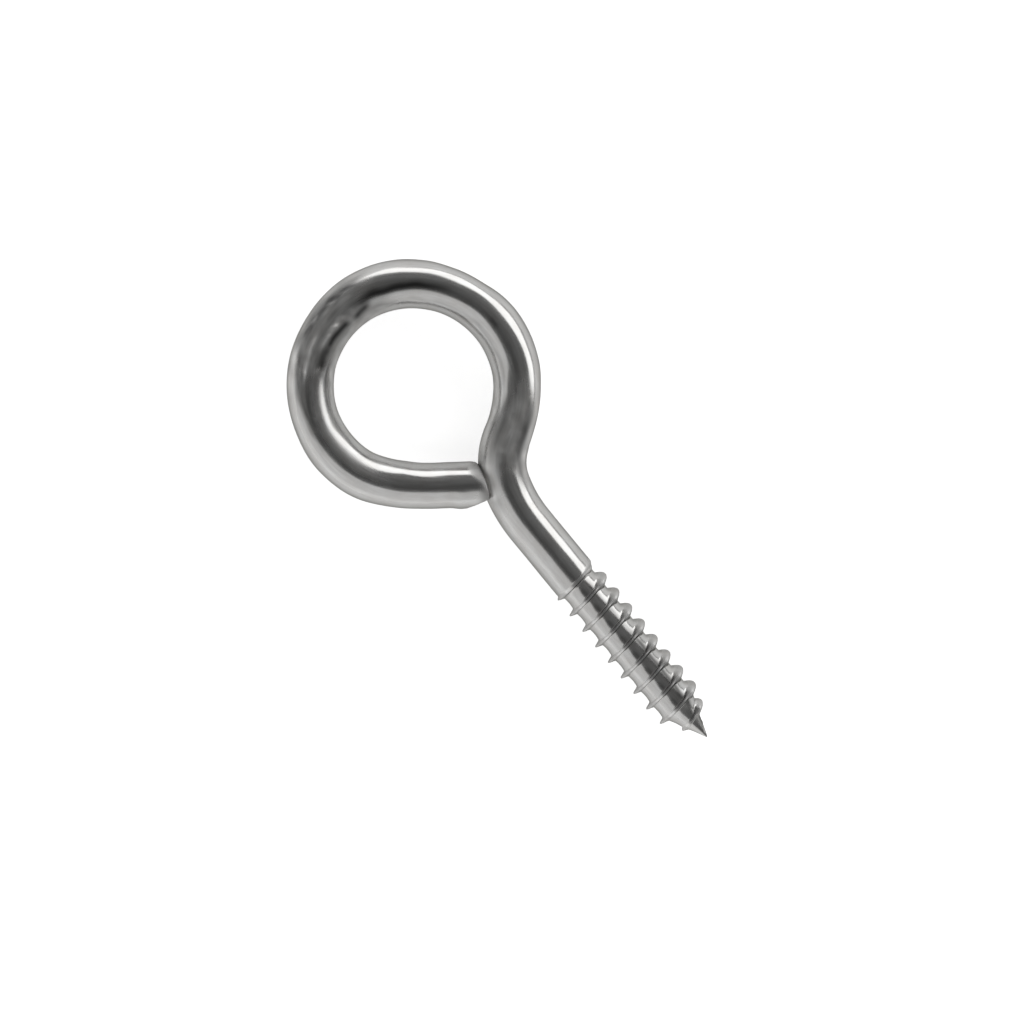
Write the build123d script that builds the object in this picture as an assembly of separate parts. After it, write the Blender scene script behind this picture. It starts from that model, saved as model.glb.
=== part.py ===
"""Screw eye: one round wire, bent into a closed eye at one end, with a wood-screw thread and a point at the
other.  Millimetres.  The shank and the thread lie on the X axis with the point at the far end, the eye lies
flat in the XY plane round the origin, and +Z is square to the eye.
"""

from build123d import *
import os
from math import acos, atan2, cos, degrees, radians, sin, sqrt, tan

# Driving dimensions ---------------------------------------------------------------------------------------

WIRE_DIAMETER = 4.0
OVERALL_LENGTH = 48.6  # far side of the eye to the tip of the point

# Inside bend radii and turns in degrees, in the order in which the wire is bent on its way from the shank.
EASE_BEND = 9.9  # the shank swings gently out of line
EASE_TURN = 18.7
NECK_BEND = 3.30  # then sharply
CROWN_BEND = 6.75  # the eye, from the neck over its far side
CROWN_TURN = 128.7
CLOSING_BEND = 6.34  # the eye, on its way back to the neck
EYE_OFFSET = 0.48  # from the shank's line to the crown's centre, towards the tail
TAIL_ANGLE = 52.7  # between the straight tail and the shank

# The cropped end of the tail, which stops just short of the neck.
TAIL_GAP = 0.15
TAIL_BEVEL = 0.2  # broken edge round the cropped face
CROP_LENGTH = 1.2  # slanted facet that the cropping tool leaves on the tail's outer side
CROP_SLANT = 23.5

# The right-hand wood-screw thread, a ridge wound round a thinner core.
THREADED_LENGTH = 17.4  # shoulder to tip
CORE_DEPTH = 0.28  # of the core's surface below the shank's
CREST_HEIGHT = 0.26  # of the ridge's crest above the shank's surface
THREAD_PITCH = 1.68
CREST_WIDTH = 0.44  # between the two edges where the flanks turn over to the crest
CREST_CROWN = 0.36  # share of the ridge's height that the crest rises above those edges
FLANK_ANGLE = 20.5  # between a flank and the plane square to the shank
SHOULDER_TAPER = 0.3  # length over which the shank's end falls to the core
RIDGE_START = -0.15  # from the shoulder to the middle of the ridge's first section
RIDGE_RISE = 1.0  # turns that the ridge takes to grow to its full height
RIDGE_CLOCK = 15.7  # clock position of the ridge's first section, from +Y towards +Z
RIDGE_FOOT = 0.25  # depth to which the ridge is rooted in the core
RIDGE_COVER = 0.05  # depth under the core's surface at which the ridge starts and ends

# The point.
POINT_LENGTH = 3.7
POINT_FLAT = 0.12  # diameter left at the very tip
RIDGE_RUNOUT = 1.0  # from the end of the ridge to the tip
END_FOOT_SHARE = 0.33  # radius of the ridge's foot there, as a share of its top's radius

# Worked out from the driving dimensions -------------------------------------------------------------------

wire_radius = WIRE_DIAMETER / 2
core_radius = wire_radius - CORE_DEPTH
crest_radius = wire_radius + CREST_HEIGHT

# Bend radii of the wire's centre line.
ease_radius = EASE_BEND + wire_radius
neck_radius = NECK_BEND + wire_radius
crown_radius = CROWN_BEND + wire_radius
closing_radius = CLOSING_BEND + wire_radius

# The easing bend starts on the X axis, and the neck's arc touches the crown's, whose centre is at X = 0.
ease_step = ease_radius - neck_radius
neck_height = ease_radius - ease_step * cos(radians(EASE_TURN))
neck_heading = acos((neck_height + EYE_OFFSET) / (neck_radius + crown_radius))
neck_x = (neck_radius + crown_radius) * sin(neck_heading)
neck_centre = Vector(neck_x, neck_height)
shank_start = neck_x + ease_step * sin(radians(EASE_TURN))
neck_turn = degrees(neck_heading) - EASE_TURN
closing_turn = 180 + TAIL_ANGLE + degrees(neck_heading) - CROWN_TURN


def next_bend(line, radius, turn):
    """Centre line of the bend that follows another, turning left where the turn is positive."""
    return JernArc(line @ 1, line % 1, radius, turn)


def bend_lines():
    """Centre lines of the bends, from the shank's end to the start of the straight tail."""
    ease = JernArc((shank_start, 0), (-1, 0), ease_radius, -EASE_TURN)
    neck = next_bend(ease, neck_radius, -neck_turn)
    crown = next_bend(neck, crown_radius, CROWN_TURN)
    closing = next_bend(crown, closing_radius, closing_turn)
    return [ease, neck, crown, closing]


def bent_bar(bends):
    """The wire's round section carried along bends that turn the same way, with its seam on their inside."""
    path = Wire(bends)
    start = path @ 0
    section = Plane(origin=start, x_dir=bends[0].arc_center - start, z_dir=path % 0) * Circle(wire_radius)
    return sweep(section, path=path)


def tail(start, direction):
    """The straight end of the wire, cropped one gap short of the neck's outer side."""
    outward = direction.rotate(Axis.Z, -90)
    to_neck = neck_centre - start
    aside = to_neck.dot(outward)
    reach = neck_radius + wire_radius + TAIL_GAP
    length = to_neck.dot(direction) - sqrt(reach**2 - aside**2)
    end = start + direction * length
    bar = extrude(Plane(origin=start, z_dir=direction) * Circle(wire_radius), length + wire_radius)

    # The cropped face is square to the line from the tail's end to the centre of the neck's bend.
    bar = split(bar, Plane(origin=end, z_dir=neck_centre - end), keep=Keep.BOTTOM)
    facet_start = end - direction * CROP_LENGTH + outward * wire_radius
    bar = split(bar, Plane(origin=facet_start, z_dir=outward.rotate(Axis.Z, CROP_SLANT)), keep=Keep.BOTTOM)
    face = bar.faces().sort_by_distance(end)[0]
    return chamfer(face.edges(), TAIL_BEVEL)


def core(shoulder, tip):
    """The straight shank and the thinner core of the thread, down to the point: a solid of revolution."""
    cone_start = tip - POINT_LENGTH
    outline = Polyline(
        (shank_start, 0),
        (shank_start, wire_radius),
        (shoulder, wire_radius),
        (shoulder + SHOULDER_TAPER, core_radius),
        (cone_start, core_radius),
        (tip, POINT_FLAT / 2),
        (tip, 0),
        close=True,
    )
    return revolve(make_face(outline), Axis.X)


def ridge_corners(middle, foot_radius, top_radius):
    """Corners of the ridge's axial section, as (along, radius): foot, crest's edge, crown, edge, foot."""
    edge_radius = top_radius - CREST_CROWN * (top_radius - foot_radius)
    half_crest = CREST_WIDTH / 2
    half_foot = half_crest + (edge_radius - foot_radius) * tan(radians(FLANK_ANGLE))
    return [
        (middle - half_foot, foot_radius),
        (middle - half_crest, edge_radius),
        (middle, top_radius),
        (middle + half_crest, edge_radius),
        (middle + half_foot, foot_radius),
    ]


def taper_helix(start, end, turns, clock):
    """Helix about Z from one (along, radius) corner to another, starting at a clock position in degrees."""
    rise = end[0] - start[0]
    slope = atan2(end[1] - start[1], rise)
    pitch = rise / (turns * cos(slope))
    helix = Helix(pitch, rise, start[1], (0, 0, start[0]), cone_angle=degrees(slope))
    return helix.rotate(Axis.Z, clock)


def ridge_stretch(here, there):
    """The ridge's corner helices between two stations, each given as (middle, foot radius, top radius)."""
    turns = (there[0] - here[0]) / THREAD_PITCH
    clock = RIDGE_CLOCK + 360 * (here[0] - RIDGE_START) / THREAD_PITCH
    corners = zip(ridge_corners(*here), ridge_corners(*there))
    return [taper_helix(start, end, turns, clock) for start, end in corners]


def ridge_sides(edges):
    """The ruled faces between neighbouring corner helices: the flanks, the crest's halves and the foot."""
    return [Face.make_surface_from_curves(a, b) for a, b in zip(edges, edges[1:] + edges[:1])]


def ridge_end(edges, position):
    """The flat face that closes the ridge at the start (0) or the end (1) of its corner helices."""
    return make_face(Polyline(*[edge @ position for edge in edges], close=True)).face()


def ridge(shoulder, tip):
    """The thread's ridge.  It rises out of the core beside the shoulder, keeps its height along the core and
    sinks into the point.  Its foot runs inside the core, so that the two fuse without a seam."""
    foot_radius = core_radius - RIDGE_FOOT
    point_slope = (core_radius - POINT_FLAT / 2) / POINT_LENGTH
    last_top = POINT_FLAT / 2 + (RIDGE_RUNOUT - CREST_WIDTH / 2) * point_slope - RIDGE_COVER
    stations = [
        (RIDGE_START, foot_radius, core_radius - RIDGE_COVER),
        (RIDGE_START + RIDGE_RISE * THREAD_PITCH, foot_radius, crest_radius),
        (tip - shoulder - POINT_LENGTH, foot_radius, crest_radius),
        (tip - shoulder - RIDGE_RUNOUT, last_top * END_FOOT_SHARE, last_top),
    ]
    stretches = [ridge_stretch(here, there) for here, there in zip(stations, stations[1:])]
    faces = [face for edges in stretches for face in ridge_sides(edges)]
    faces += [ridge_end(stretches[0], 0), ridge_end(stretches[-1], 1)]
    along_shank = Plane(origin=(shoulder, 0, 0), x_dir=(0, 1, 0), z_dir=(1, 0, 0))
    return along_shank * Solid(Shell(faces))


def screw_eye():
    """The whole part, one solid."""
    bends = bend_lines()
    closing = bends[-1]
    far_side = Wire(bends).bounding_box().min.X - wire_radius
    tip = far_side + OVERALL_LENGTH
    shoulder = tip - THREADED_LENGTH
    neck = bent_bar(bends[:2])
    eye = bent_bar(bends[2:]) + tail(closing @ 1, closing % 1)
    screw = core(shoulder, tip) + ridge(shoulder, tip)
    return eye + neck + screw


part = screw_eye()
part.label = "screw_eye"
os.makedirs("parts", exist_ok=True)
export_step(part, "parts/screw_eye.step")

box = part.bounding_box()
print(f"screw eye: {len(part.solids())} solid, {part.volume:.1f} cubic mm, {box.size}")
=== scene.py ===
"""Screw eye in bright drawn steel wire, seen from above on a white table.

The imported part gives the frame.  One fine closed mesh stands for its only node: a tube along the wire's bent
centre line, whose radius carries the thread, the point, the cropped end and the marks of the bending tools.
"""

from math import acos, cos, pi, radians, sin

import bpy
import numpy as np
from mathutils import Matrix, Vector


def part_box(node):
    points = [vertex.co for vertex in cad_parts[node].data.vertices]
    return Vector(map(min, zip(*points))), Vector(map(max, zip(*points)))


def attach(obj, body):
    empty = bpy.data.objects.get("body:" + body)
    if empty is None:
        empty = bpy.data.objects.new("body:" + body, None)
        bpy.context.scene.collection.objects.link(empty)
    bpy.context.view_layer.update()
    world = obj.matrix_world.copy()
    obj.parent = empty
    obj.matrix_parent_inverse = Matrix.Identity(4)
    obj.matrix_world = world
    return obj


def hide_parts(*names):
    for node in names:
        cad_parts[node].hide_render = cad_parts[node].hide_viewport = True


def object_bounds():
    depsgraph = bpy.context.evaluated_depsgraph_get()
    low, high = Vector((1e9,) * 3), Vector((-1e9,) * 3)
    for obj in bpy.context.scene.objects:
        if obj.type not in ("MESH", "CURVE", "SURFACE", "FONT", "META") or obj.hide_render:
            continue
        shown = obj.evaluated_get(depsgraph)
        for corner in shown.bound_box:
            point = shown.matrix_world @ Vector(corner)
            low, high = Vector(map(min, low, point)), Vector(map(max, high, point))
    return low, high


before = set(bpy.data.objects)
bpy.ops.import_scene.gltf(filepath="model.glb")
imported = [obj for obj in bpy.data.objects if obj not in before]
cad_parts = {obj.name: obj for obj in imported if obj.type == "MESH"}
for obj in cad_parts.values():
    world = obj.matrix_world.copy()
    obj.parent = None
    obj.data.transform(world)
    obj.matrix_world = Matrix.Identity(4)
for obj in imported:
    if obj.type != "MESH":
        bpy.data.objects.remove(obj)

MM = 0.001  # the piece is drawn in millimetres, and becomes metres where its mesh is made
cad_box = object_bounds()

# The wire, as in the CAD part -----------------------------------------------------------------------------

WIRE_RADIUS = 2.0
EASE_BEND = 9.9
EASE_TURN = radians(18.7)
NECK_BEND = 3.3
CROWN_BEND = 6.75
CROWN_TURN = radians(128.7)
CLOSING_BEND = 6.34
EYE_OFFSET = 0.48
TAIL_ANGLE = radians(52.7)
TAIL_GAP = 0.15
CROP_LENGTH = 1.2
CROP_SLANT = radians(23.5)

# The thread and the point.  The core is a little thinner than in the CAD part.
THREADED_LENGTH = 17.4
CORE_RADIUS = 1.63
CREST_RADIUS = 2.26
THREAD_PITCH = 1.68
RIDGE_START = -0.15
RIDGE_CLOCK = radians(15.7)
POINT_LENGTH = 3.7
POINT_RADIUS = 0.06  # at the very tip

# Fineness of the mesh --------------------------------------------------------------------------------------

COLUMNS = 112
BEND_STEP = 0.2
THREAD_STEP = 0.045
THREAD_LEAD = 0.6  # the thread's fine rows start this far before the shoulder
TIP_GAP = 0.02  # from the last row to the tip
END_ROWS = [0.0, 0.04, 0.09, 0.16, 0.25, 0.37, 0.52, 0.7]  # distances of the first rows from the cropped end
END_LENGTH = 0.9  # from the cropped end to the first of the evenly spaced rows
CAP_SHARES = [0.15, 0.35, 0.55, 0.75, 0.9, 0.97]  # sizes of the rings on the cropped face, from its middle

# How the wire departs from a plain round bar ---------------------------------------------------------------
# Lengths run along the wire from its cropped end.  Clock positions are in degrees, from the eye's outer side
# over the wire's top.

SHANK_BLEND = (53.0, 56.0)  # the marks of bending fade out between these lengths
DRAWN_RADIUS = WIRE_RADIUS * 0.9985  # leaves room for the waves
SQUARED, SQUARED_OUTSIDE = 0.02, 0.07  # added to a round section's power of 2, in the eye and on its outside
INNER_SWELL = 0.02
TAIL_PINCH = (-1, 5.5, 2.0, 0.10)  # low, high, softness and depth on the tail's inner side
SHANK_WAVES, EYE_WAVES = 0.003, 0.008
CALM_SHARE = 0.8  # share of the waves that is missing on the very top and bottom
PINCHES = [  # low, high, softness, depth on the outer side
    (1.6, 8.0, 2.4, 0.10),
    (14.0, 25.0, 3.0, 0.12),
    (33.8, 37.8, 2.0, 0.14),
    (44.6, 49.5, 2.0, 0.11),
]
SWELLS = [  # low, high, softness, height on the outer side; the first is the burr beside the cropped facet
    (1.45, 2.1, 0.7, 0.07),
    (26.5, 32.0, 2.0, 0.06),
    (39.0, 43.0, 2.0, 0.04),
]
SWAYS = [  # low, high, softness, shift towards the outer side
    (5.0, 9.0, 3.0, -0.10),
    (45.0, 49.0, 3.0, -0.06),
]
SCRAPE_SOFTNESS = 1.0
SCRAPES = [  # low, high, clock, width, depth, seed
    (19.3, 23.0, 73, 4, 0.050, 21),
    (22.2, 25.2, 100, 5, 0.045, 22),
    (22.0, 27.5, 50, 7, 0.040, 23),
    (15.6, 19.5, 94, 8, 0.035, 24),
    (46.0, 52.5, 70, 10, 0.030, 25),
    (47.0, 52.0, 97, 10, 0.030, 26),
    (39.45, 39.75, 70, 35, 0.015, 27),
]
FLATS = [  # low, high, softness, clock, width, depth
    (27.0, 33.0, 3.0, 36, 18, 0.05),
    (13.5, 20.5, 3.0, 136, 20, 0.10),
    (-1.0, 5.0, 3.0, 140, 22, 0.04),
]
HAMMERED_LENGTHS = (20.0, 27.5, 2.5)  # low, high, softness of the uneven patch
HAMMERED_CLOCKS = (40, 122, 22)
HAMMERED_DEPTH, HAMMERED_UNEVENNESS = 0.006, 0.007

# The rolled ridge.
RIDGE_LEAN = 0.06  # it runs a little out of true
TIP_FLANK, EYE_FLANK = 0.21, 0.24  # widths of its two flanks on top and below
SIDE_FLANK = 0.40  # added to them on the +Y side
FAR_SIDE_SHARE = 0.25  # of that, on the other side
RIDGE_SHARE = 0.9  # of its height; the rest is a gentle rise all the way from the middle between its turns
RIDGE_RISE = (-0.4, 0.9)  # its crest rises between these distances from the shoulder
CREST_FALL_START, CREST_FALL_LENGTH, CREST_FALL_POWER = 3.9, 3.3, 1.7  # and falls over the point
LOWERED = [(48, 160, 24, 0.45), (104, 152, 20, 0.25)]  # clock low, high, softness and share missing on top

# The shoulder and the point.
SCREW_BLEND = (-1.0, -0.3)  # distances from the shoulder at which the drawn wire passes into the screw
SHOULDER_SLANT = 0.24  # it ends further along on the far side, by twice this
SHOULDER_FALL = (-0.25, 0.45)  # distances from it between which the shank falls to the core
POINT_BEND, POINT_BEND_LENGTH, POINT_BEND_POWER = 0.16, 3.2, 1.5  # the point is bent a little towards +Y

# The cropped end.
CROPPED_LENGTH = 3.0  # rows this near to the end are shaped by the crop
PRESSED_GAP = 0.01
PRESSED_HEIGHT = 0.82  # heights count for this much where the end follows the neck's round side
PRESSED_BELOW, PRESSED_MORE = 0.35, 0.5  # how closely it follows it below, and how much closer above
PRESSED_CHANGE = (-0.5, 0.8)  # heights between which that changes
PRESSED_LENGTH = 2.5  # length of the tail that moves with its end
EDGE_LENGTH, TOP_LENGTH = 0.55, 0.8  # the end's edge is rounded over these lengths, at the sides and on top
END_WIDTH, END_TOP, END_BOTTOM = 0.93, 0.77, 0.80  # shares of the wire's size that are left at the very end

# Paint -----------------------------------------------------------------------------------------------------

STAINS_AND_PAINTED_SHADING = [  # low, high, softness, clock at low, clock at high, width, depth of tone (below 0, brighter: a bright rub, or painted light); the darkening rows are stains, or painted shade where marked
    # The scuffs on the far side of the eye, with two streaks of painted shade among them, marked below.
    (20.3, 22.5, 1.0, 110, 114, 14, 0.76),
    (22.4, 25.4, 0.9, 112, 118, 10, 0.90),
    (26.0, 27.8, 0.9, 119, 112, 9, 0.82),
    # Painted shade: deepens the dark band that the top of the eye mirrors.
    (26.5, 34.5, 4.5, 96, 89, 10, 0.78),
    (22.3, 27.5, 1.5, 53, 50, 7, 0.50),
    (14.0, 21.5, 3.0, 75, 53, 7, 0.50),
    # Painted shade: darkens the table's reflection along the eye's outer rim, with mottling.
    (21.5, 28.0, 2.5, 38, 40, 14, 0.55),
    (19.4, 23.0, 1.5, 76, 74, 5, -0.9),
    (22.3, 25.0, 1.2, 99, 101, 6, -0.9),
    (20.0, 20.5, 0.5, 104, 106, 6, -0.8),
    (23.5, 24.1, 0.5, 48, 48, 4, -0.9),
    # The crown.
    (39.1, 39.9, 0.4, 92, 92, 6, 0.35),
    (27.0, 46.0, 5.0, 128, 128, 7, 0.28),
    # The neck.
    (46.8, 53.9, 2.6, 60, 52, 13, 0.62),
    (45.0, 50.5, 3.0, 112, 118, 8, 0.35),
    # Painted light: lifts the shade on the neck's flank beside the tail's cropped end.
    (51.8, 54.2, 0.8, 138, 138, 16, -0.7),
    # The thread, the point and the cropped end.
    # Painted shade: these two rows dim the lit sheet's reflection along the thread, more towards the point.
    (64.0, 69.0, 1.5, 65, 65, 8, 0.45),
    (69.5, 78.0, 3.0, 61, 62, 12, 0.85),
    # Painted shade on the darker side of the point.
    (78.5, 81.0, 1.0, 28, 28, 38, 0.65),
    (-1.0, 0.6, 0.6, 112, 112, 30, 0.30),
]
BLOTCHES = [  # low, high, softness, strength
    (19.0, 28.5, 3.0, 1.0),
    (45.0, 53.5, 3.0, 0.7),
    (9.0, 19.0, 4.0, 0.2),
]
BLOTCH_DEPTH, BLOTCH_BRIGHTENING = 0.07, 0.05
CREST_CLEAN = 0.7  # share of the stains and painted shading that is taken off the thread's crest
CREST_PAINTED_SHADING = [(108, 134, 12, 0.40), (70, 106, 12, -0.38)]  # clock low, high, softness and change of tone: painted light on the crest past the top, on the side facing the white wall, and painted shade on it across the top, where the wire mirrors the dark room
CREST_DULL = 0.30
DULL_PATCHES = [  # low, high, softness, clock, half-width, roughness
    (20.0, 28.0, 3.0, 80, 48, 0.18),
    (20.0, 28.5, 3.0, 150, 40, 0.20),
    (46.0, 52.6, 4.0, 80, 50, 0.24),
    (8.0, 18.0, 3.0, 106, 16, 0.16),
    (-1.0, 1.6, 1.5, 30, 45, 0.10),
    (-1.0, 0.7, 0.5, 90, 90, 0.40),
    (51.0, 54.6, 1.5, 150, 30, 0.30),
    (-3.0, 56.0, 3.0, 165, 28, 0.10),
]
DULL_EDGE, DULL_SOFTNESS = 0.2, 20  # how ragged the patches' ends are, and how soft their sides, in degrees
TONE_RANGE = (0.05, 1.9)
CAP_PAINTED_LIGHT_TONE, CAP_DULL = 1.7, 0.4  # of the cropped face; its tone is painted light, lifting the face out of the shade where it meets the neck
POLE_PAINT = 0.9  # tone and dullness at the middle of the cropped face and at the tip

# The room, in metres.  Directions are given by their azimuth, clockwise from the picture's top, and their
# angle from the view's axis, in degrees.

FLOOR_WHITE = (0.75, 0.75, 0.75, 1)
FLOOR_GLOW = 0.72  # lifts the lamp-lit table to white
TABLE_HALF = 1.5
VIEW_TILT = 0.1134  # of the camera from straight above, in radians
VIEW_ROLL = 0.8829  # of the shank in the picture, down from level, in radians
VIEW_CENTRE = Vector((13.02, -0.485, 0.0)) * MM
VIEW_WIDTH = 84.41 * MM
VIEW_DISTANCE = 0.40
SENSOR = 36.0
# Cosine of the angle from the view's axis, and the room's level there.
STUDIO_STOPS = [(0.0, 0.66), (0.2, 0.55), (0.36, 0.32), (0.85, 0.25), (0.97, 0.17), (1.0, 0.15)]
DARK_AREAS = [  # azimuth, angle, cosines of the angles at which the area starts and is full, light left in it
    (122, 60, 0.72, 0.95, 0.65),
    (178, 12, 0.965, 0.992, 0.65),
]
LIT_SHEETS = [  # name, azimuth, distance, left, right, low, high, radiance
    ("window", 45, 0.50, -2.4, 0.62, 0.08, 0.45, 2.15),
    ("white_wall", 197, 0.45, -0.44, 2.6, -0.03, 0.90, 0.77),
]

# Centre line -----------------------------------------------------------------------------------------------

ease_radius = EASE_BEND + WIRE_RADIUS
neck_radius = NECK_BEND + WIRE_RADIUS
crown_radius = CROWN_BEND + WIRE_RADIUS
closing_radius = CLOSING_BEND + WIRE_RADIUS
ease_step = ease_radius - neck_radius
neck_height = ease_radius - ease_step * cos(EASE_TURN)
neck_heading = acos((neck_height + EYE_OFFSET) / (neck_radius + crown_radius))
neck_centre = np.array([(neck_radius + crown_radius) * sin(neck_heading), neck_height])
shank_start = neck_centre[0] + ease_step * sin(EASE_TURN)
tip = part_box("screw_eye")[1].x / MM
shoulder = tip - THREADED_LENGTH
tail_direction = np.array([cos(TAIL_ANGLE), sin(TAIL_ANGLE)])
tail_outward = np.array([tail_direction[1], -tail_direction[0]])


def bent_line():
    """Points and headings along the bends, from the start of the shank to the start of the straight tail."""
    bends = [
        (ease_radius, -EASE_TURN),
        (neck_radius, EASE_TURN - neck_heading),
        (crown_radius, CROWN_TURN),
        (closing_radius, pi + TAIL_ANGLE + neck_heading - CROWN_TURN),
    ]
    point = np.array([shank_start, 0.0])
    heading = pi
    points, headings = [point], [heading]
    for radius, turn in bends:
        side = np.sign(turn)
        centre = point + side * radius * np.array([-sin(heading), cos(heading)])
        steps = int(np.ceil(radius * abs(turn) / BEND_STEP))
        for share in np.linspace(0, 1, steps + 1)[1:]:
            now = heading + turn * share
            points.append(centre + side * radius * np.array([sin(now), -cos(now)]))
            headings.append(now)
        point, heading = points[-1], headings[-1]
    return np.array(points), np.array(headings)


def tail_length(start):
    """Length of the straight tail from its start to the middle of the cropped face."""
    to_neck = neck_centre - start
    reach = neck_radius + WIRE_RADIUS + TAIL_GAP
    return to_neck @ tail_direction - np.sqrt(reach**2 - (to_neck @ tail_outward) ** 2)


bend_points, bend_headings = bent_line()
tail_start = bend_points[-1]
tail_end = tail_start + tail_length(tail_start) * tail_direction


def centre_line():
    """Rows of the tube from the cropped end to the tip: its centre, its heading and the length so far."""
    length = tail_length(tail_start)
    evenly = np.linspace(length - END_LENGTH, 0, int(length / BEND_STEP) + 1)[:-1]
    along = np.concatenate([length - np.array(END_ROWS), evenly])
    tail_points = tail_start + along[:, None] * tail_direction
    fine_start = shoulder - THREAD_LEAD
    shank = np.linspace(shank_start, fine_start, int((shoulder - shank_start) / BEND_STEP) + 1)[1:]
    screw = np.arange(fine_start + THREAD_STEP, tip - TIP_GAP, THREAD_STEP)
    straight = np.concatenate([shank, screw])
    straight_points = np.c_[straight, np.zeros_like(straight)]
    points = np.concatenate([tail_points, bend_points[::-1], straight_points])
    tail_headings = np.full(len(along), TAIL_ANGLE + pi)
    headings = np.concatenate([tail_headings, bend_headings[::-1] - pi, np.zeros(len(straight))])
    steps = np.linalg.norm(np.diff(points, axis=0), axis=1)
    return points, headings, np.concatenate([[0], np.cumsum(steps)])


# Form of the wire's surface --------------------------------------------------------------------------------


def smooth(low, high, x):
    """0 below low, 1 above high, and an S-curve between them."""
    t = np.clip((x - low) / (high - low), 0, 1)
    return t * t * (3 - 2 * t)


def band(low, high, soft, x):
    """1 between low and high, 0 outside them, with edges as wide as soft."""
    return smooth(low - soft / 2, low + soft / 2, x) * (1 - smooth(high - soft / 2, high + soft / 2, x))


def streak(degrees, at, width):
    """1 at a clock position, and less the further from it."""
    return np.exp(-(((degrees - at) / width) ** 2))


def ripple(length, clock, wavelength, around, seed, count=10):
    """Gentle irregular waves of about unit height: their usual length along the wire, and the most of them
    around it."""
    draw = np.random.default_rng(seed)
    total = 0
    for _ in range(count):
        along = draw.uniform(0.3, 1.5) / wavelength
        turns = draw.integers(-around, around + 1)
        total = total + np.sin(2 * pi * along * length + turns * clock + draw.uniform(0, 6.3))
    return total / np.sqrt(count / 2)


def drawn_section(length, clock):
    """Radius of the plain wire: round in the shank; in the eye its outer side is squared a little by the
    bending tools, and it is pinched and swollen in turn."""
    bent = 1 - smooth(*SHANK_BLEND, length)
    outer = smooth(-0.25, 0.25, np.cos(clock))
    power = 2 + bent * (SQUARED + SQUARED_OUTSIDE * outer)
    across, up = np.abs(np.cos(clock)), np.abs(np.sin(clock))
    squared = (across**power + up**power) ** (-1 / power)
    pinch = sum(depth * band(low, high, soft, length) for low, high, soft, depth in PINCHES)
    swell = sum(rise * band(low, high, soft, length) for low, high, soft, rise in SWELLS)
    sideways = outer * (swell * across - pinch * across**5)
    low, high, soft, depth = TAIL_PINCH
    inner = (1 - outer) * across**2 * (INNER_SWELL * bent - depth * band(low, high, soft, length))
    waves = SHANK_WAVES * ripple(length, clock, 4, 12, 3) + EYE_WAVES * bent * ripple(length, clock, 7, 4, 4)
    return DRAWN_RADIUS * squared + sideways + inner + waves * (1 - up**8 * CALM_SHARE)


def tool_marks(length, clock):
    """Depth of the scrapes, flats and the hammered patch that the bending tools have left."""
    degrees = np.degrees(clock)
    depth = 0
    for low, high, at, width, deep, seed in SCRAPES:
        broken = 0.6 + 0.4 * ripple(length, clock, 1.2, 4, seed)
        depth = depth + deep * broken * band(low, high, SCRAPE_SOFTNESS, length) * streak(degrees, at, width)
    for low, high, soft, at, width, deep in FLATS:
        depth = depth + deep * band(low, high, soft, length) * streak(degrees, at, width)
    patch = band(*HAMMERED_LENGTHS, length) * band(*HAMMERED_CLOCKS, degrees)
    return depth + patch * (HAMMERED_DEPTH + HAMMERED_UNEVENNESS * ripple(length, clock, 1.0, 22, 8))


def ridge_height(x, clock):
    """Height of the thread over the core, from 0 to 1, at distance x along the axis and a clock position."""
    lean = RIDGE_LEAN * np.sin(clock)
    turn = (x - lean - shoulder - RIDGE_START) / THREAD_PITCH - (clock - RIDGE_CLOCK) / (2 * pi)
    aside = (turn - np.round(turn)) * THREAD_PITCH
    near_side = smooth(0.45, 0.95, np.cos(clock))
    fuller = near_side + FAR_SIDE_SHARE * smooth(0.6, 1.0, -np.cos(clock))
    to_tip = aside / (TIP_FLANK + SIDE_FLANK * fuller)
    to_eye = -aside / (EYE_FLANK + SIDE_FLANK * fuller)
    flank = np.where(aside > 0, to_tip, to_eye)
    rise = (1 - RIDGE_SHARE) / 2 * (1 + np.cos(2 * pi * turn))
    return RIDGE_SHARE * (1 - smooth(0.05, 1.0, flank)) + rise


def crest_line(x):
    """Radius of the thread's crest along the screw."""
    start = smooth(*RIDGE_RISE, x - shoulder)
    fall = ((CREST_FALL_START - (tip - x)) / CREST_FALL_LENGTH).clip(0) ** CREST_FALL_POWER
    full = CREST_RADIUS * np.clip(1 - fall, 0, 1)
    return CORE_RADIUS + (full - CORE_RADIUS) * start


def core_line(x, clock):
    """Radius of the shank, the thread's core and the point.  The shank ends along the ridge's first turn."""
    along = x - shoulder - SHOULDER_SLANT * (1 - np.cos(clock))
    neck = WIRE_RADIUS + (CORE_RADIUS - WIRE_RADIUS) * smooth(*SHOULDER_FALL, along)
    to_tip = (tip - x).clip(0)
    return np.minimum(neck, POINT_RADIUS + (CORE_RADIUS - POINT_RADIUS) * (to_tip / POINT_LENGTH))


def screw_radius(x, clock):
    """Radius of the shank, thread and point at distance x along the axis and a clock position.  The ridge
    stands proud on both sides and below, and is rolled lower on top."""
    core = core_line(x, clock)
    crest = np.maximum(crest_line(x), core)
    degrees = np.degrees(clock)
    lower = sum(share * band(low, high, soft, degrees) for low, high, soft, share in LOWERED)
    return core + (crest - core) * ridge_height(x, clock) * (1 - lower)


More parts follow.
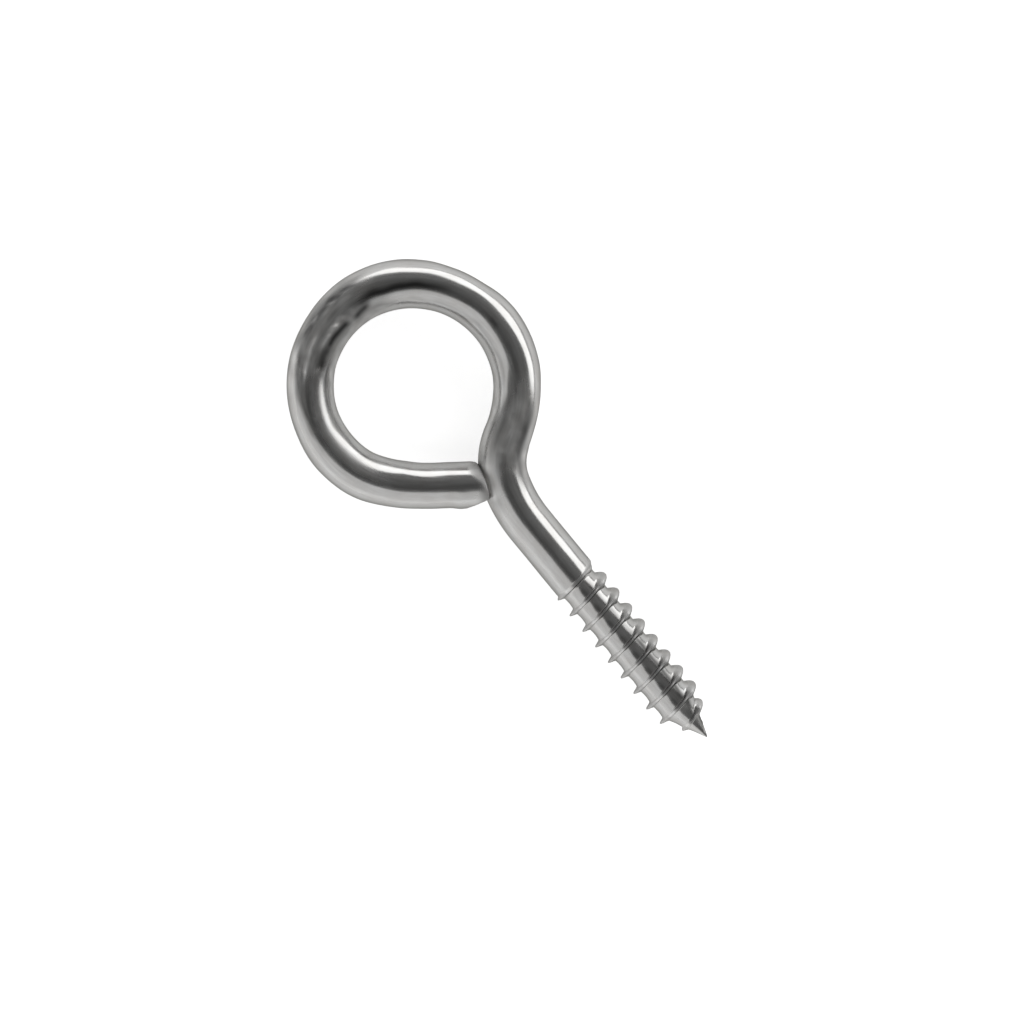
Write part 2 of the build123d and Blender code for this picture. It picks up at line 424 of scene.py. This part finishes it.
def end_face(aside, up):
    """How far the cropped end reaches beyond the tail's nominal end, at each point of it.  It is pressed on
    to the neck and follows its round side, most of all above."""
    away = (neck_centre - tail_end) / np.linalg.norm(neck_centre - tail_end)
    flat = -aside * (tail_outward @ away) / (tail_direction @ away)
    neck_side = np.sqrt((WIRE_RADIUS**2 - (PRESSED_HEIGHT * up) ** 2).clip(0))
    reach = neck_radius + neck_side + PRESSED_GAP
    to_neck = neck_centre - tail_end - aside[..., None] * tail_outward
    saddle = to_neck @ tail_direction - np.sqrt(reach**2 - (to_neck @ tail_outward) ** 2)
    follow = PRESSED_BELOW + PRESSED_MORE * smooth(*PRESSED_CHANGE, up)
    return flat + follow * (saddle - flat)


def rounded(length, over):
    """Quarter circle, from 0 at the cropped end to 1 at a distance from it."""
    return np.sqrt(1 - (1 - length / over).clip(0) ** 2)


def crop_end(place, points, lengths):
    """Moves the first rows on to the cropped face, rounds its edge and cuts the slanted facet beside it."""
    corner = tail_end - tail_direction * CROP_LENGTH + tail_outward * WIRE_RADIUS
    facet = cos(CROP_SLANT) * tail_outward + sin(CROP_SLANT) * tail_direction
    for i in np.nonzero(lengths < CROPPED_LENGTH)[0]:
        edge, top = rounded(lengths[i], EDGE_LENGTH), rounded(lengths[i], TOP_LENGTH)
        width = END_WIDTH + (1 - END_WIDTH) * edge
        above, below = END_TOP + (1 - END_TOP) * top, END_BOTTOM + (1 - END_BOTTOM) * edge
        place[i, :, :2] = points[i] + (place[i, :, :2] - points[i]) * width
        place[i, :, 2] *= np.where(place[i, :, 2] > 0, above, below)
        aside = (place[i, :, :2] - points[i]) @ tail_outward
        weight = 1 - smooth(0, PRESSED_LENGTH, lengths[i])
        place[i, :, :2] += (weight * end_face(aside, place[i, :, 2]))[:, None] * tail_direction
        over = ((place[i, :, :2] - corner) @ facet).clip(0)
        place[i, :, :2] -= over[:, None] * tail_outward / (tail_outward @ facet)


def marks(length, clock, ridge):
    """Tone and dullness of the surface, point by point: stains, painted shade and painted light, blotches and
    dull patches.
    """
    degrees = np.degrees(clock)
    tone = np.ones(length.shape)
    dull = np.zeros(length.shape)
    # Stains, painted shade and painted light, each along a streak of the wire.
    for low, high, soft, start, end, width, depth in STAINS_AND_PAINTED_SHADING:
        at = start + (end - start) * smooth(low, high, length) + ripple(length, 0 * clock, 2.5, 2, 41)
        tone *= 1 - depth * band(low, high, soft, length) * streak(degrees, at, width)
    blotchy = sum(strength * band(low, high, soft, length) for low, high, soft, strength in BLOTCHES)
    tone *= 1 + blotchy * (BLOTCH_DEPTH * ripple(length, clock, 2.6, 16, 42) + BLOTCH_BRIGHTENING)
    crest = smooth(0.15, 0.6, ridge)
    tone += (1 - tone) * CREST_CLEAN * crest
    # Painted light and painted shade on the thread's crest, by clock position.
    changes = [change * band(low, high, soft, degrees) for low, high, soft, change in CREST_PAINTED_SHADING]
    tone *= 1 + crest * sum(changes)
    for low, high, soft, at, width, amount in DULL_PATCHES:
        edge = DULL_EDGE * soft * ripple(0, clock, 1, 5, 43)
        sides = band(at - width, at + width, DULL_SOFTNESS, degrees)
        dull += amount * band(low, high, soft, length + edge) * sides
    return tone.clip(*TONE_RANGE), dull + CREST_DULL * smooth(0.12, 0.5, ridge)


# The piece's mesh ------------------------------------------------------------------------------------------


def wire_surface():
    """Rows of the tube from the cropped end to the tip: their points, the same points on a straight wire, and
    their tone and dullness."""
    points, headings, lengths = centre_line()
    clock = np.linspace(0, 2 * pi, COLUMNS, endpoint=False)
    normal = np.c_[-np.sin(headings), np.cos(headings)]
    length, around = np.broadcast_arrays(lengths[:, None], clock[None, :])
    x = (lengths - lengths[-1] + tip - TIP_GAP)[:, None]
    screw = smooth(*SCREW_BLEND, x - shoulder)
    ridge = np.where(x > shoulder + SCREW_BLEND[0], ridge_height(x, clock[None, :]), 0)
    radius = drawn_section(length, around) * (1 - screw) + screw_radius(x, clock[None, :]) * screw
    radius = radius - tool_marks(length, around) * (1 - screw)
    sway = sum(shift * band(low, high, soft, lengths) for low, high, soft, shift in SWAYS)
    planar = radius * np.cos(clock) + sway[:, None]
    place = np.empty((len(points), COLUMNS, 3))
    place[..., :2] = points[:, None, :] + planar[..., None] * normal[:, None, :]
    place[..., 2] = radius * np.sin(clock)
    crop_end(place, points, lengths)
    place[..., 1] += POINT_BEND * smooth(-POINT_BEND_LENGTH, 0, x - tip) ** POINT_BEND_POWER
    wire = np.empty((len(points), COLUMNS, 3))
    wire[..., 0] = lengths[:, None]
    wire[..., 1] = WIRE_RADIUS * np.cos(clock)
    wire[..., 2] = WIRE_RADIUS * np.sin(clock)
    tone, dull = marks(length, around, ridge * screw)
    return place, wire, tone, dull


def tube_faces(rows):
    """Faces of a tube of so many rows, closed by a fan to a point at each end."""
    sides = [(j, (j + 1) % COLUMNS) for j in range(COLUMNS)]
    last_row = (rows - 1) * COLUMNS
    first_pole = rows * COLUMNS
    faces = []
    for row in range(0, last_row, COLUMNS):
        faces += [(row + j, row + k, row + COLUMNS + k, row + COLUMNS + j) for j, k in sides]
    for j, k in sides:
        faces += [(first_pole, k, j), (first_pole + 1, last_row + j, last_row + k)]
    return faces


def wire_piece():
    """The whole piece as one closed mesh, with its paint and dullness."""
    place, wire, tone, dull = wire_surface()
    end = place[0].mean(0)
    cap = np.array([end + (place[0] - end) * share for share in CAP_SHARES])
    cap_wire = np.array([wire[0] * [1, share, share] for share in CAP_SHARES])
    cap_paint = np.ones((len(CAP_SHARES), COLUMNS))
    end_poles = [end, [tip, POINT_BEND, 0.0]]
    wire_poles = [[0, 0, 0], [wire[-1, 0, 0], 0, 0]]
    vertices = np.concatenate([cap.reshape(-1, 3), place.reshape(-1, 3), end_poles]) * MM
    coords = np.concatenate([cap_wire.reshape(-1, 3), wire.reshape(-1, 3), wire_poles])
    mesh = bpy.data.meshes.new("screw_eye_wire")
    mesh.from_pydata(vertices.tolist(), [], tube_faces(len(cap) + len(place)))
    mesh.update()
    attribute = mesh.attributes.new("wire", "FLOAT_VECTOR", "POINT")
    attribute.data.foreach_set("vector", coords.astype(np.float32).ravel())
    # The cropped face's tone is painted light against the shade where it meets the neck.
    for name, cap_value, values in (("tone", CAP_PAINTED_LIGHT_TONE, tone), ("dull", CAP_DULL, dull)):
        attribute = mesh.attributes.new(name, "FLOAT", "POINT")
        values = np.concatenate([cap_value * cap_paint, values]).ravel()
        attribute.data.foreach_set("value", np.append(values, [POLE_PAINT, POLE_PAINT]).astype(np.float32))
    mesh.shade_smooth()
    piece = bpy.data.objects.new("screw_eye_wire", mesh)
    bpy.context.scene.collection.objects.link(piece)
    return piece


# Materials -------------------------------------------------------------------------------------------------


def node(tree, kind, **values):
    """A new node; values are its settings, or its inputs where the name is an input's."""
    made = tree.nodes.new(kind)
    for name, value in values.items():
        if name in made.inputs:
            made.inputs[name].default_value = value
        else:
            setattr(made, name, value)
    return made


def combined(tree, operation, first, second):
    """Result of a sum on two values."""
    made = node(tree, "ShaderNodeMath", operation=operation)
    tree.links.new(first, made.inputs[0])
    tree.links.new(second, made.inputs[1])
    return made.outputs[0]


def spread(tree, value, from_range, to_range, interpolation="LINEAR"):
    """A value carried from one range to another."""
    made = node(tree, "ShaderNodeMapRange", interpolation_type=interpolation)
    made.inputs["From Min"].default_value, made.inputs["From Max"].default_value = from_range
    made.inputs["To Min"].default_value, made.inputs["To Max"].default_value = to_range
    tree.links.new(value, made.inputs["Value"])
    return made.outputs[0]


def noise(tree, vector, lengthwise, **values):
    """Noise over the wire's own coordinates, drawn out along the wire."""
    stretch = node(tree, "ShaderNodeVectorMath", operation="MULTIPLY")
    stretch.inputs[1].default_value = (lengthwise, 1.0, 1.0)
    tree.links.new(vector, stretch.inputs[0])
    made = node(tree, "ShaderNodeTexNoise", **values)
    tree.links.new(stretch.outputs[0], made.inputs["Vector"])
    return made.outputs["Fac"]


def steel():
    """Bright drawn steel: lengthwise drawing lines, blotchy polish, and the stains, painted shade, painted
    light and dull patches that the mesh carries."""
    material = bpy.data.materials.new("bright_drawn_steel")
    material.use_nodes = True
    tree = material.node_tree
    links = tree.links
    shader = tree.nodes["Principled BSDF"]
    shader.inputs["Metallic"].default_value = 1.0
    shader.inputs["Specular Tint"].default_value = (0.40, 0.40, 0.39, 1)
    wire = node(tree, "ShaderNodeAttribute", attribute_name="wire").outputs["Vector"]
    tone = node(tree, "ShaderNodeAttribute", attribute_name="tone").outputs["Fac"]
    dull = node(tree, "ShaderNodeAttribute", attribute_name="dull").outputs["Fac"]
    lines = noise(tree, wire, 0.10, Scale=5.0, Detail=6.0, Roughness=0.65)
    blotches = noise(tree, wire, 0.5, Scale=1.1, Detail=4.0, Roughness=0.6)

    colour = node(tree, "ShaderNodeValToRGB")
    darker, lighter = colour.color_ramp.elements
    darker.position, darker.color = 0.32, (0.385, 0.378, 0.368, 1)
    lighter.position, lighter.color = 0.68, (0.425, 0.425, 0.42, 1)
    links.new(blotches, colour.inputs["Fac"])
    grain = spread(tree, lines, (0.3, 0.7), (0.93, 1.07))
    shade = node(tree, "ShaderNodeVectorMath", operation="SCALE")
    links.new(colour.outputs["Color"], shade.inputs[0])
    links.new(combined(tree, "MULTIPLY", grain, tone), shade.inputs["Scale"])
    links.new(shade.outputs[0], shader.inputs["Base Color"])

    rough = spread(tree, lines, (0.3, 0.7), (0.14, 0.22))
    links.new(combined(tree, "ADD", rough, dull), shader.inputs["Roughness"])
    return material


def table_white():
    """A white table top, which stays white in the camera and in the metal, and keeps the object's shadow."""
    material = bpy.data.materials.new("table_white")
    material.use_nodes = True
    tree = material.node_tree
    links = tree.links
    tree.nodes.remove(tree.nodes["Principled BSDF"])
    diffuse = node(tree, "ShaderNodeBsdfDiffuse", Color=FLOOR_WHITE)
    glow = node(tree, "ShaderNodeEmission")
    rays = node(tree, "ShaderNodeLightPath").outputs
    seen = combined(tree, "MAXIMUM", rays["Is Camera Ray"], rays["Is Glossy Ray"])
    seen_through = combined(tree, "MAXIMUM", seen, rays["Is Transmission Ray"])
    level = node(tree, "ShaderNodeMath", operation="MULTIPLY")
    level.inputs[1].default_value = FLOOR_GLOW
    links.new(seen_through, level.inputs[0])
    links.new(level.outputs[0], glow.inputs["Strength"])
    both = node(tree, "ShaderNodeAddShader")
    links.new(diffuse.outputs[0], both.inputs[0])
    links.new(glow.outputs[0], both.inputs[1])
    links.new(both.outputs[0], tree.nodes["Material Output"].inputs["Surface"])
    return material


# The screw eye ---------------------------------------------------------------------------------------------

wire = wire_piece()
wire.data.materials.append(steel())
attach(wire, "root")
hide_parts("screw_eye")

# Table, camera and lights ----------------------------------------------------------------------------------

across = Vector((cos(VIEW_TILT), 0, sin(VIEW_TILT)))
view_right = cos(VIEW_ROLL) * across + sin(VIEW_ROLL) * Vector((0, 1, 0))
view_up = cos(VIEW_ROLL) * Vector((0, 1, 0)) - sin(VIEW_ROLL) * across
view_back = view_right.cross(view_up)


def toward(azimuth, angle):
    """Direction at an azimuth, clockwise from the picture's top, and an angle from the view's axis."""
    a, z = radians(azimuth), radians(angle)
    return sin(z) * (sin(a) * view_right + cos(a) * view_up) + cos(z) * view_back


def placed(right, up, back, location):
    """Matrix of a camera or lamp at a location, with its own axes along three directions."""
    matrix = Matrix((right, up, back)).transposed().to_4x4()
    matrix.translation = location
    return matrix


def sheet(name, azimuth, distance, left, right, low, high, radiance):
    """A lit upright sheet that faces the object at a distance, with its extent sideways and upwards."""
    width, height = right - left, high - low
    lamp = bpy.data.lights.new(name, "AREA")
    lamp.shape = "RECTANGLE"
    lamp.size = width
    lamp.size_y = height
    lamp.energy = radiance * pi * width * height
    holder = bpy.data.objects.new(name, lamp)
    bpy.context.scene.collection.objects.link(holder)
    out, side = toward(azimuth, 90), toward(azimuth + 90, 90)
    middle = (left + right) / 2 * side + (low + high) / 2 * view_back
    holder.matrix_world = placed(-side, view_back, out, VIEW_CENTRE + distance * out + middle)


def table():
    """The table top, level with the lowest point of the part."""
    half, level = TABLE_HALF, cad_box[0].z
    mesh = bpy.data.meshes.new("table")
    corners = [(-half, -half, level), (half, -half, level), (half, half, level), (-half, half, level)]
    mesh.from_pydata(corners, [], [(0, 1, 2, 3)])
    mesh.materials.append(table_white())
    top = bpy.data.objects.new("table", mesh)
    bpy.context.scene.collection.objects.link(top)


def camera():
    """The camera that takes the main picture."""
    data = bpy.data.cameras.new("camera")
    data.sensor_width = SENSOR
    data.lens = SENSOR * VIEW_DISTANCE / VIEW_WIDTH
    data.clip_start = 0.01
    holder = bpy.data.objects.new("camera", data)
    bpy.context.scene.collection.objects.link(holder)
    holder.matrix_world = placed(view_right, view_up, view_back, VIEW_CENTRE + VIEW_DISTANCE * view_back)
    bpy.context.scene.camera = holder


def studio():
    """Grey room, darker overhead and paler at the horizon, with a dark gap between the two lit sheets and a
    darker place overhead."""
    world = bpy.data.worlds.new("studio")
    world.use_nodes = True
    tree = world.node_tree
    links = tree.links
    direction = node(tree, "ShaderNodeTexCoord").outputs["Generated"]

    def nearness(centre):
        made = node(tree, "ShaderNodeVectorMath", operation="DOT_PRODUCT")
        made.inputs[1].default_value = centre
        links.new(direction, made.inputs[0])
        return made.outputs["Value"]

    shade = node(tree, "ShaderNodeValToRGB")
    ramp = shade.color_ramp
    while len(ramp.elements) < len(STUDIO_STOPS):
        ramp.elements.new(0.5)
    for element, (place, level) in zip(ramp.elements, STUDIO_STOPS):
        element.position = place
        element.color = (level, level, level, 1)
    links.new(nearness(view_back), shade.inputs["Fac"])
    gap, overhead = [
        spread(tree, nearness(toward(azimuth, angle)), (low, high), (1.0, least), "SMOOTHSTEP")
        for azimuth, angle, low, high, least in DARK_AREAS
    ]
    background = tree.nodes["Background"]
    links.new(shade.outputs["Color"], background.inputs["Color"])
    links.new(combined(tree, "MULTIPLY", gap, overhead), background.inputs["Strength"])
    bpy.context.scene.world = world


table()
camera()
studio()
for lit in LIT_SHEETS:
    sheet(*lit)

bpy.context.scene.view_settings.view_transform = "Standard"
